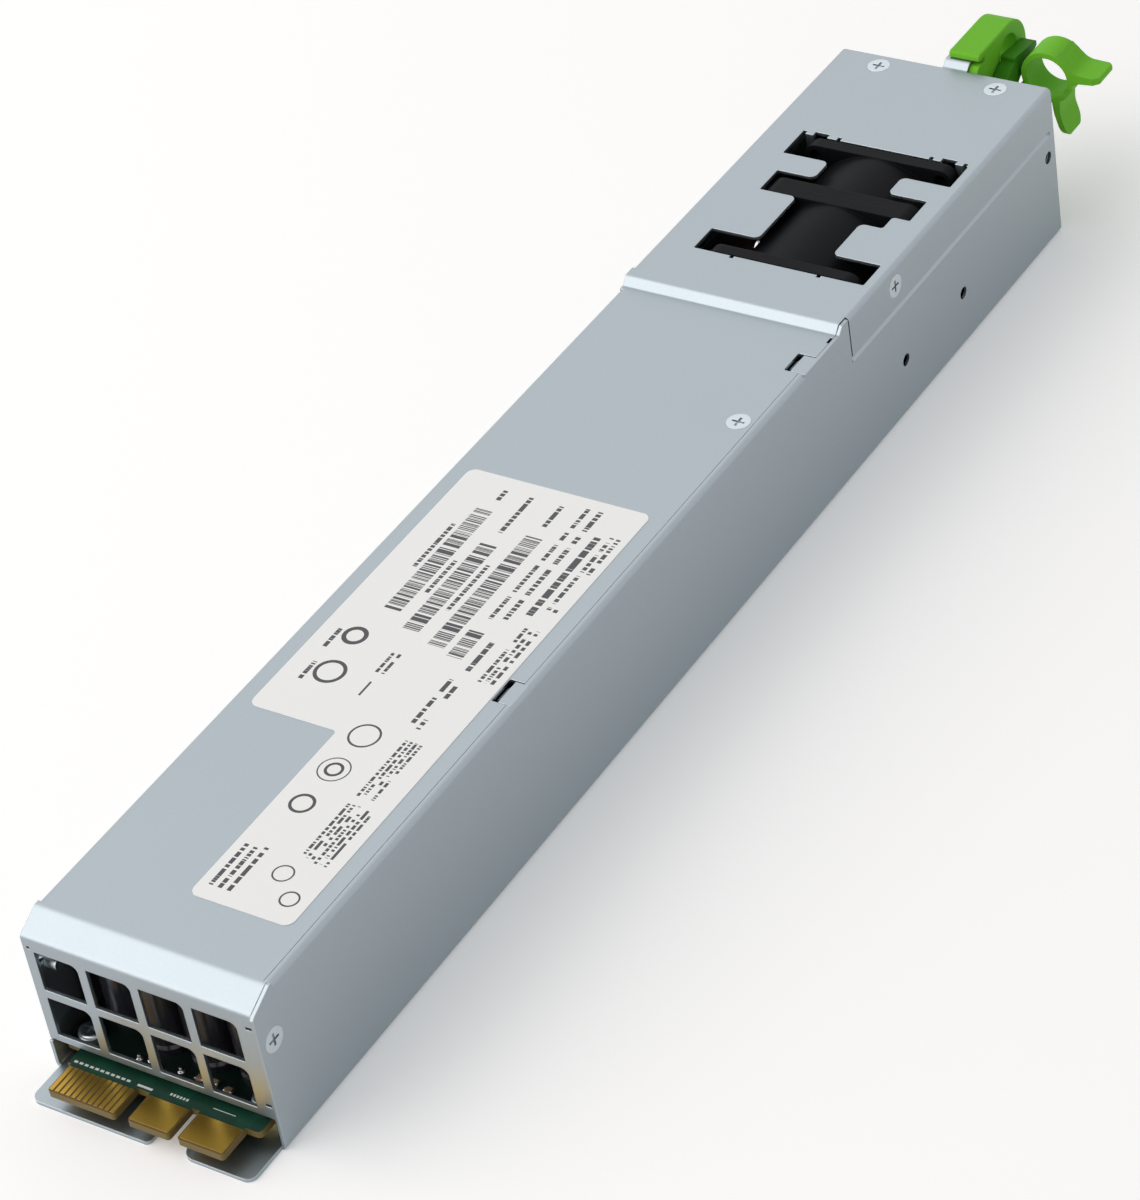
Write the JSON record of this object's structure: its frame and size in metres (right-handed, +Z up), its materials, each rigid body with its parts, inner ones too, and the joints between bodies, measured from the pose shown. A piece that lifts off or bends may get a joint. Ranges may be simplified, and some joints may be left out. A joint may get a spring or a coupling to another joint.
{
  "type": "hot swap server power supply",
  "caption": "Slim slide-in server power supply: stepped steel case with grille and card-edge contacts, in-line fan, mains inlet, green pull loop, release lever and cord clip.",
  "frame": {"origin": "on the underside, halfway across the case, level with the front edge of the side walls at the connector end", "axes": "+X across the case to the side of the cord clip, +Y along the case to the service end with the handle, +Z up"},
  "size_m": [0.0602, 0.3567, 0.0422],
  "materials": {
    "zinc_steel": "zinc plated, satin",
    "screw_steel": "zinc plated",
    "label_white": "printed film",
    "board_green": "solder mask",
    "gold": "gold plated",
    "brass": "satin",
    "insulator": "thin film",
    "heat_sink": "extruded",
    "black_epoxy": "moulded epoxy",
    "can_sleeve": "shrink sleeve",
    "ferrite": "ferrite",
    "copper": "enamelled copper wire",
    "tape_yellow": "polyester tape",
    "film_yellow": "moulded box",
    "ceramic_white": "ceramic tube with metal caps",
    "fan_black": "moulded, fine grain",
    "bearing_steel": "ground",
    "wire_black": "sleeved leads",
    "wire_mains": "insulated leads",
    "inlet_black": "moulded",
    "nickel": "nickel plated",
    "green_plastic": "moulded, semi-gloss",
    "light_pipe": "clear moulded"
  },
  "bodies": {
    "case": {"chassis_tray": "zinc_steel", "top_cover": "zinc_steel", "end_panel": "zinc_steel", "rating_label": "label_white", "cover_screws": "screw_steel", "main_board": "board_green", "signal_contacts": "gold", "power_contacts": "gold", "board_standoffs": "brass", "board_screws": "screw_steel", "insulating_sheet": "insulator", "secondary_heat_sink": "heat_sink", "rectifiers": "black_epoxy", "output_capacitors": "can_sleeve", "output_inductor_core": "ferrite", "output_inductor_winding": "copper", "transformer_core": "ferrite", "transformer_winding": "tape_yellow", "standby_transformer_core": "ferrite", "standby_transformer_winding": "tape_yellow", "primary_heat_sink": "heat_sink", "power_transistors": "black_epoxy", "pfc_inductor_core": "ferrite", "pfc_inductor_winding": "copper", "bulk_capacitor": "can_sleeve", "film_capacitors": "film_yellow", "choke_core": "ferrite", "choke_winding": "copper", "bridge_rectifier": "black_epoxy", "input_fuse": "ceramic_white", "control_board": "board_green", "control_chips": "black_epoxy", "control_pins": "gold", "intake_fan_frame": "fan_black", "intake_bearings": "bearing_steel", "intake_stator": "copper", "exhaust_fan_frame": "fan_black", "exhaust_bearings": "bearing_steel", "exhaust_stator": "copper", "fan_lead": "wire_black", "fan_lead_clip": "fan_black", "inlet_housing": "inlet_black", "inlet_pins": "nickel", "inlet_wires": "wire_mains", "earth_stud": "nickel", "earth_lug": "nickel", "lever_bracket": "zinc_steel", "lever_pin": "bearing_steel", "lever_spring": "bearing_steel", "pull_loop": "green_plastic", "loop_screws": "screw_steel", "cable_clip": "green_plastic", "clip_screw": "screw_steel", "status_light": "light_pipe"},
    "intake": {"intake_rotor": "fan_black", "intake_shaft": "bearing_steel"},
    "exhaust": {"exhaust_rotor": "fan_black", "exhaust_shaft": "bearing_steel"},
    "lever": {"release_lever": "green_plastic"}
  },
  "joints": [
    {"name": "intake_spin", "type": "hinge", "parent": "case", "child": "intake", "pos_m": [0.0031, 0.2518, 0.0198], "axis": [0, 1, 0], "continuous": true},
    {"name": "exhaust_spin", "type": "hinge", "parent": "case", "child": "exhaust", "pos_m": [0.0031, 0.2758, 0.0198], "axis": [0, 1, 0], "continuous": true},
    {"name": "lever_press", "type": "hinge", "parent": "case", "child": "lever", "pos_m": [0.01015, 0.314, 0.0255], "axis": [-1, 0, 0], "range_deg": [0, 7], "stiffness_Nm_per_rad": 0.3, "springref_deg": -11.46, "deforming": ["lever_spring"]}
  ]
}
